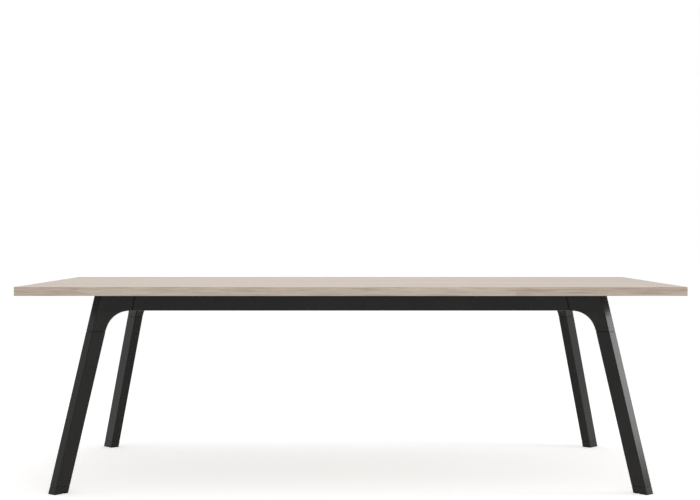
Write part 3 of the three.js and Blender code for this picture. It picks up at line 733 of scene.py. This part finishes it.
def taper(edge):
    middle = (edge.verts[0].co.z + edge.verts[1].co.z) / 2
    share = min(1, max(0, (middle - leg_high - TAPER_START) / TAPER_RISE))
    return share * share * (3 - 2 * share)


print("edges along the arcs:", pick(casting, "EDGE", along_arc))
shape = bmesh.from_edit_mesh(casting.data)
weight = shape.edges.layers.float.new("bevel_weight_edge")
for edge in shape.edges:
    edge[weight] = taper(edge) if edge.select else 0.0
bmesh.update_edit_mesh(casting.data)
modify(casting, "BEVEL", limit_method="WEIGHT", width=ARC_ROUND, segments=ARC_STEPS,
       use_clamp_overlap=False)
to_corners(done(casting), "casting", "corner_casting", black_casting)

# %% [markdown]
# The spigots that go into the tubes get a near-black, dull finish: painted shade, which makes the open
#  joints look black. They could be pieces of their own, but they are cast in one with the corner. So
#  their faces are found by where they lie, and take the painted shade as a second finish.

# %% Painted shade on the spigots
def in_joint_shade(centre):
    x, y, climb = abs(centre.x), abs(centre.y), centre.z - BEAM_BOTTOM
    in_beam = x + LEAN.x * climb < long_high.x or y + LEAN.y * climb < end_high.y
    return in_beam or centre.z < leg_high


for corner in CORNERS:
    casting = bpy.data.objects[f"casting_{corner}"]
    casting.data.materials.append(joint_shade_casting)
    # The spigot faces inside the joints take the painted joint shade.
    spigot = [face for face in casting.data.polygons if in_joint_shade(face.center)]
    for face in spigot:
        face.material_index = 1
    print(casting.name, "bare faces:", len(spigot))

# %% [markdown]
# ## Levelling shoes
# The shoe closes the leg and slides out of it on a spindle when the floor is uneven. Its foot has the
# leg's section, and a smaller shank stays inside the tube. The shank could be extruded from the foot,
# but then it would have to be leaned by itself, so both are blocks that lean as the leg does, with
# level ends, and are united.

# %% Shoe
SHOE_HEIGHT, SHANK_TOP = 0.026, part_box("shoe_back_right")[1].z
SHANK_PLAY, SHANK_ROUND, SHANK_STEPS, SHANK_SINK = 0.0004, 0.0016, 4, 0.002
shank_low = SHOE_HEIGHT - SHANK_SINK
shoe = start_block("shoe", *leg_section(0, 0, SHOE_HEIGHT))
pick(shoe, "EDGE", lambda edge: runs(edge, Z))
round_picked(LEG_ROUND, TUBE_STEPS)
pick(shoe, "EDGE", lambda edge: abs(edge.verts[0].co.z - edge.verts[1].co.z) < HAIR)
round_picked(SEAM_RIM, SOFT_STEPS)
lean(shoe, 0, SHOE_HEIGHT)
shank = start_block("shank", *leg_section(LEG_WALL + SHANK_PLAY, shank_low, SHANK_TOP))
pick(shank, "EDGE", lambda edge: runs(edge, Z))
round_picked(SHANK_ROUND, SHANK_STEPS)
lean(shank, shank_low, SHANK_TOP)
unite(shoe, [shank])
print("shoe faces:", len(shoe.data.polygons))

# %% [markdown]
# A groove crosses the sole, and the spindle runs through a bore along the leg's axis, with a wider
# seat at its upper end. All three are cut by booleans, because a cut leaves clean edges wherever the
# cutter passes. The groove's cutter leans with the shoe, and the round cutters are turned to the axis.

# %% Groove and bore of the shoe
GROOVE_FROM, GROOVE_TO, GROOVE_REACH, GROOVE_HEIGHT = -0.013, -0.004, 0.030, 0.0055
BORE_RADIUS, SEAT_RADIUS, SEAT_DEPTH, BORE_SIDES = 0.0055, 0.0095, 0.005, 40
OVERRUN = 0.010
LEG_UP = -slide.normalized()


def round_cutter(radius, low, high):
    bpy.ops.object.select_all(action="DESELECT")
    centre = (leg_axis(low) + leg_axis(high)) / 2
    turn = LEG_UP.to_track_quat("Z", "Y").to_euler()
    bpy.ops.mesh.primitive_cylinder_add(vertices=BORE_SIDES, radius=radius, depth=(high - low) / LEG_UP.z,
                                        location=centre, rotation=turn)
    return bpy.context.object


def cut_away(piece, cutter):
    modify(piece, "BOOLEAN", operation="DIFFERENCE", solver="EXACT", object=cutter)
    bpy.data.objects.remove(cutter)


groove = start_block("groove", (GROOVE_FROM, -GROOVE_REACH, -GROOVE_HEIGHT),
                     (GROOVE_TO, GROOVE_REACH, GROOVE_HEIGHT))
lean(groove, -GROOVE_HEIGHT, GROOVE_HEIGHT)
cut_away(shoe, groove)
cut_away(shoe, round_cutter(BORE_RADIUS, -OVERRUN, SHANK_TOP + OVERRUN))
cut_away(shoe, round_cutter(SEAT_RADIUS, SHANK_TOP - SEAT_DEPTH, SHANK_TOP + 2 * OVERRUN))
to_corners(done(shoe), "shoe_foot", "shoe", black_plastic, body="shoe")

# %% [markdown]
# ## Bolts and screws
# Button-head bolts hold the frame and pan-head screws hold the top. A head is a short cylinder whose
# rim is bevelled into a dome, the shank is extruded from an inset of its underside, and the six-sided
# key socket is cut by a boolean. A spun profile would give the same dome, but not the socket. One of
# each is made and copied to every place.

# %% Fastener shapes
HEAD_SIDES, KEY_SIDES, DOME_STEPS = 48, 6, 6
BOLT_HEAD, SCREW_HEAD = 0.0044, 0.0036


def fastener(name, head_radius, head_height, dome, shank_radius, length, key, key_depth):
    bpy.ops.object.select_all(action="DESELECT")
    bpy.ops.mesh.primitive_cylinder_add(vertices=HEAD_SIDES, radius=head_radius, depth=head_height,
                                        location=(0, 0, -head_height / 2))
    made = bpy.context.object
    made.name = name
    bpy.ops.object.transform_apply(location=True, rotation=True, scale=True)
    pick(made, "EDGE", lambda edge: all(v.co.z < HAIR - head_height for v in edge.verts))
    round_picked(dome, DOME_STEPS)
    pick(made, "FACE", lambda face: face.normal.z > ALIGNED)
    bpy.ops.mesh.inset(thickness=head_radius - shank_radius)
    bpy.ops.mesh.extrude_region_move(TRANSFORM_OT_translate={"value": (0, 0, length)})
    bpy.ops.object.mode_set(mode="OBJECT")
    bpy.ops.object.select_all(action="DESELECT")
    key_radius = key / 2 / math.cos(math.pi / KEY_SIDES)
    bpy.ops.mesh.primitive_cylinder_add(vertices=KEY_SIDES, radius=key_radius, depth=2 * key_depth,
                                        location=(0, 0, -head_height))
    cut_away(made, bpy.context.object)
    print(name, "faces:", len(made.data.polygons))
    return done(made)


bolt = fastener("bolt", head_radius=0.0070, head_height=BOLT_HEAD, dome=0.0022,
                shank_radius=0.0040, length=0.0160, key=0.005, key_depth=0.0025)
screw = fastener("screw", head_radius=0.0055, head_height=SCREW_HEAD, dome=0.0018,
                 shank_radius=0.0025, length=0.0220, key=0.004, key_depth=0.0020)

# %% [markdown]
# Each fastener takes its place from the box of its measured part: the head sits at the end that the
# driver comes from. A copy is turned until its shank points into the work, moved to its seat, and then
# mirrored to the other corners. Typing all the places would also do, but would not follow a new size.

# %% Bolts and screws in place
def drive(master, node, into, head):
    low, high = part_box(f"{node}_back_right")
    seat = (low + high) / 2
    seat += (low.dot(into) + head - seat.dot(into)) * into
    placed = copy_of(master, node)
    placed.matrix_world = Matrix.Translation(seat) @ into.to_track_quat("Z", "Y").to_matrix().to_4x4()
    bpy.ops.object.transform_apply(location=True, rotation=True, scale=True)
    to_corners(placed, f"{node}_made", node, zinc_steel)


for node, into in (("long_beam_bolt", Y), ("end_beam_bolt", X), ("rail_bolt", Y)):
    drive(bolt, node, into, BOLT_HEAD)
for node in ("corner_screw", "beam_screw"):
    drive(screw, node, Z, SCREW_HEAD)
for master in (bolt, screw):
    bpy.data.objects.remove(master)

# %% [markdown]
# The spindles, their nuts, and the plates and bolts inside the legs are closed in by the tubes. They
# could be modelled anew as the bolts were, but nobody sees them, so they keep their measured shapes,
# with the zinc finish.

# %% Closed-in steel pieces
hidden = [name for name in frame["nodes"] if name.startswith(("spindle", "leg_plate", "leg_bolt"))]
for name in hidden:
    frame["nodes"][name].material_slots[0].material = zinc_steel
print("closed-in pieces with zinc:", len(hidden))

# %% [markdown]
# ## Room, light and camera
# A pale floor stands in for a plain studio. To look white it is lifted only for rays from the camera,
# from reflections and from transmission, and keeps its real brightness for the light that it throws
# back, so the table gets no extra light. Adding the lift to the matt floor keeps the soft shadow.

# %% Floor
FLOOR_SIZE, FLOOR_LIFT = 80, 0.51
FLOOR_GREY = (0.90, 0.90, 0.90, 1)


def seen_rays(tree):
    path = tree.nodes.new("ShaderNodeLightPath")
    seen = math_node(tree, "MAXIMUM", path.outputs["Is Camera Ray"], path.outputs["Is Glossy Ray"])
    return math_node(tree, "MAXIMUM", seen, path.outputs["Is Transmission Ray"])


bpy.ops.object.select_all(action="DESELECT")
bpy.ops.mesh.primitive_plane_add(size=FLOOR_SIZE, location=(0, 0, 0))
floor = bpy.context.object
floor.name = "floor"
pale = bpy.data.materials.new("pale_floor")
pale.use_nodes = True
tree = pale.node_tree
tree.nodes.clear()
matt = put(tree, "ShaderNodeBsdfDiffuse", {"Color": FLOOR_GREY})
lift = math_node(tree, "MULTIPLY", seen_rays(tree), FLOOR_LIFT)
glow = put(tree, "ShaderNodeEmission", {"Strength": lift})
both = put(tree, "ShaderNodeAddShader", {0: matt, 1: glow})
out = tree.nodes.new("ShaderNodeOutputMaterial")
tree.links.new(both, out.inputs["Surface"])
floor.data.materials.append(pale)
print("floor laid,", FLOOR_SIZE, "m wide")

# %% [markdown]
# The world around the floor is made the same way: white to the same rays, and a softer level as light.
# A plain white world would be simpler, but it would flood the table with light.

# %% Surround
WHITE = (1, 1, 1, 1)
SOFT_LEVEL, WHITE_LEVEL = 0.56, 1.0
world = bpy.data.worlds.new("studio")
bpy.context.scene.world = world
world.use_nodes = True
tree = world.node_tree
tree.nodes.clear()
around = put(tree, "ShaderNodeBackground", {"Color": WHITE, "Strength": SOFT_LEVEL})
white = put(tree, "ShaderNodeBackground", {"Color": WHITE, "Strength": WHITE_LEVEL})
blend = put(tree, "ShaderNodeMixShader", {"Fac": seen_rays(tree), 1: around, 2: white})
out = tree.nodes.new("ShaderNodeOutputWorld")
tree.links.new(blend, out.inputs["Surface"])
print("surround at", SOFT_LEVEL, "as light")

# %% [markdown]
# One wide lamp overhead lights the top evenly. One on the right stands where the outer face of the
# front leg on that side mirrors it, and gives it a soft sheen. Small lamps would do this too, but with
# hard shadows and glints.

# %% Lamps
def soft_lamp(name, at, towards, size, watts):
    bpy.ops.object.light_add(type="AREA", location=at)
    lamp = bpy.context.object
    lamp.name = name
    lamp.data.shape = "RECTANGLE"
    lamp.data.size, lamp.data.size_y = size
    lamp.data.energy = watts
    lamp.rotation_euler = (Vector(towards) - Vector(at)).to_track_quat("-Z", "Y").to_euler()
    print(name, watts, "W")


soft_lamp("overhead", at=(-0.3, -0.3, 3.4), towards=(0, 0, 0.7), size=(3.6, 2.4), watts=31)
soft_lamp("right_side", at=(4.6, -0.30, 1.43), towards=(1.0, -0.5, 0.5), size=(0.9, 1.46), watts=35)

# %% [markdown]
# The camera stands level in front of the table, at the height and distance that the perspective of
# the top gives. A level camera keeps upright lines parallel, and a small shift frames the table.

# %% Camera
CAMERA_PLACE, CAMERA_LEVEL = (0, -5.600, 0.928), (math.radians(90), 0, 0)
bpy.ops.object.camera_add(location=CAMERA_PLACE, rotation=CAMERA_LEVEL)
camera = bpy.context.object
camera.data.sensor_width = 36
camera.data.lens = 72.2
camera.data.shift_x = -0.001
camera.data.shift_y = -0.0214
bpy.context.scene.camera = camera
bpy.context.scene.view_settings.view_transform = "Standard"
print("camera at", tuple(camera.location))
